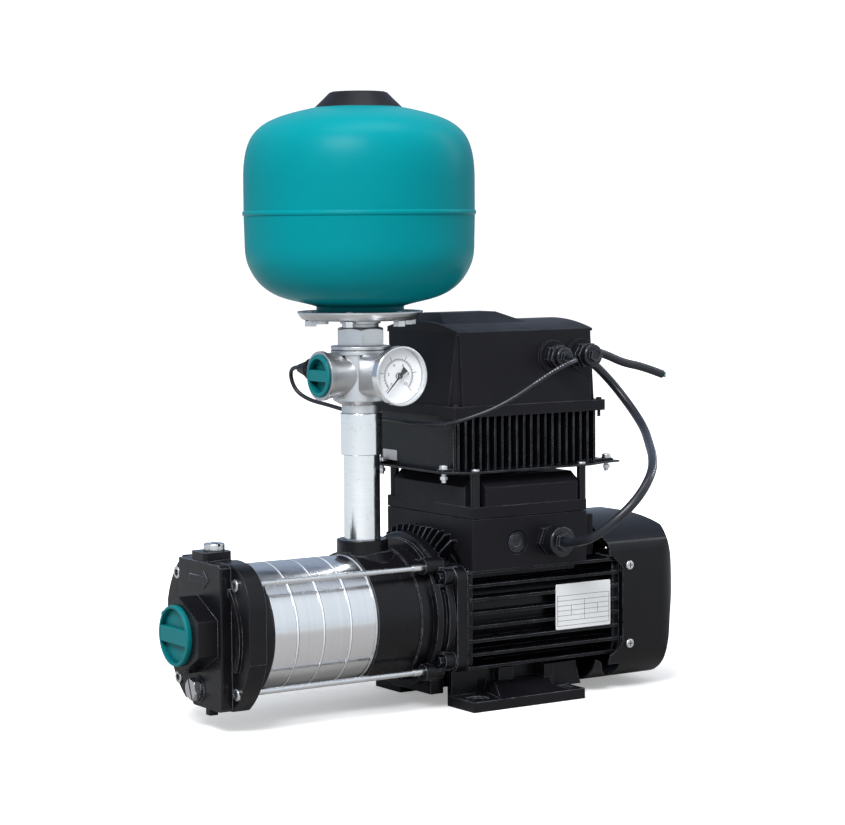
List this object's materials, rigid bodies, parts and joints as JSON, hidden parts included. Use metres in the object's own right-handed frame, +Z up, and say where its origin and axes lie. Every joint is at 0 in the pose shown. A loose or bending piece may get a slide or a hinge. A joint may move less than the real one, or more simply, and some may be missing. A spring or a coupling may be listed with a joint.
{
  "type": "booster pump station",
  "caption": "Horizontal multistage pump with fan-cooled motor, top-mounted speed drive, riser with five-way cross, gauge, sensor and a round pressure tank.",
  "frame": {"origin": "centre of the four foot bolt holes, on the floor plane", "axes": "+Z up, +X along the shaft from the pump inlet to the fan end, +Y to the side away from the pressure gauge"},
  "size_m": [0.5365, 0.3027, 0.5672],
  "materials": {
    "black_casting": "gloss enamel over a fine cast texture",
    "black_aluminium": "gloss enamel over a die-cast texture",
    "black_sheet": "gloss enamel",
    "black_plastic": "fine satin texture",
    "teal_enamel": "satin enamel",
    "teal_plastic": "satin moulded",
    "barrel_steel": "turned and polished",
    "steel": "zinc plated",
    "shaft_steel": "ground",
    "grey_casting": "bright zinc, cast texture",
    "galvanised_pipe": "smooth bright zinc",
    "gauge_bezel": "polished",
    "gauge_glass": "clear",
    "gauge_black": "satin",
    "rubber_black": "matt",
    "cable_black": "satin sheath",
    "copper": "enamelled wire",
    "lamination_steel": "stacked sheets",
    "impeller_steel": "pressed sheet",
    "board_green": "lacquered board",
    "key_grey": "satin",
    "plate_aluminium": "blank brushed plate",
    "ceramic": "lapped seal ring"
  },
  "bodies": {
    "station": {"inlet_cover": "black_casting", "priming_plug": "steel", "drain_plug": "steel", "stage_casings": "barrel_steel", "diffusers": "impeller_steel", "casing_orings": "rubber_black", "outlet_casing": "black_casting", "tie_bolts": "steel", "drive_end_bracket": "black_casting", "bracket_bolts": "black_casting", "seal_seat": "ceramic", "bearing_outer_rings": "shaft_steel", "motor_frame": "black_aluminium", "stator_core": "lamination_steel", "stator_windings": "copper", "rear_end_shield": "black_aluminium", "fan_cover": "black_sheet", "fan_cover_screws": "steel", "motor_feet": "black_casting", "nameplate": "plate_aluminium", "terminal_box": "black_plastic", "terminal_box_lid": "black_plastic", "standoff_posts": "black_sheet", "drive_plate": "black_sheet", "drive_plate_screws": "steel", "drive_heatsink": "black_aluminium", "drive_board": "board_green", "drive_cover": "black_plastic", "drive_cover_screws": "gauge_black", "cable_glands": "black_plastic", "motor_cable": "cable_black", "sensor_cable": "cable_black", "mains_cable": "cable_black", "riser_pipe": "galvanised_pipe", "riser_coupling": "galvanised_pipe", "check_valve_spring": "steel", "cross_fitting": "grey_casting", "gauge_case": "gauge_bezel", "gauge_lens": "gauge_glass", "pressure_sensor": "black_plastic", "tank_nipple": "grey_casting", "tank_flange": "grey_casting", "flange_bolts": "steel", "tank_shell": "teal_enamel", "air_valve": "steel", "tank_bladder": "rubber_black"},
    "rotor": {"shaft": "shaft_steel", "rotor_core": "lamination_steel", "impellers": "impeller_steel", "seal_rotary": "rubber_black", "cooling_fan": "black_plastic", "bearing_inner_rings": "shaft_steel"},
    "pointer": {"gauge_pointer": "gauge_black"},
    "check_valve": {"check_valve_poppet": "teal_plastic"},
    "run_key": {"key_run": "key_grey"},
    "down_key": {"key_down": "key_grey"},
    "up_key": {"key_up": "key_grey"},
    "cap": {"tank_cap": "black_plastic"},
    "inlet_stopper": {"inlet_plug": "teal_plastic"},
    "outlet_stopper": {"outlet_plug": "teal_plastic"}
  },
  "joints": [
    {"name": "rotor_spin", "type": "hinge", "parent": "station", "child": "rotor", "pos_m": [-0.1295, 0, 0.0855], "axis": [1, 0, 0], "continuous": true},
    {"name": "gauge_pointer_turn", "type": "hinge", "parent": "station", "child": "pointer", "pos_m": [-0.1295, -0.067, 0.3106], "axis": [0, 1, 0], "range_deg": [0, 270]},
    {"name": "check_valve_lift", "type": "slide", "parent": "station", "child": "check_valve", "axis": [0, 0, 1], "range_m": [0, 0.006], "stiffness_N_per_m": 250, "springref_m": -0.004},
    {"name": "key_run_press", "type": "slide", "parent": "station", "child": "run_key", "axis": [0, -0.3483, -0.9374], "range_m": [0, 0.0008], "stiffness_N_per_m": 1500, "springref_m": -0.0006},
    {"name": "key_down_press", "type": "slide", "parent": "station", "child": "down_key", "axis": [0, -0.3483, -0.9374], "range_m": [0, 0.0008], "stiffness_N_per_m": 1500, "springref_m": -0.0006},
    {"name": "key_up_press", "type": "slide", "parent": "station", "child": "up_key", "axis": [0, -0.3483, -0.9374], "range_m": [0, 0.0008], "stiffness_N_per_m": 1500, "springref_m": -0.0006},
    {"name": "tank_cap_lift", "type": "slide", "parent": "station", "child": "cap", "axis": [0, 0, 1], "range_m": [0, 0.05]},
    {"name": "inlet_plug_out", "type": "slide", "parent": "station", "child": "inlet_stopper", "axis": [-1, 0, 0], "range_m": [0, 0.05]},
    {"name": "outlet_plug_out", "type": "slide", "parent": "station", "child": "outlet_stopper", "axis": [-1, 0, 0], "range_m": [0, 0.04]}
  ]
}
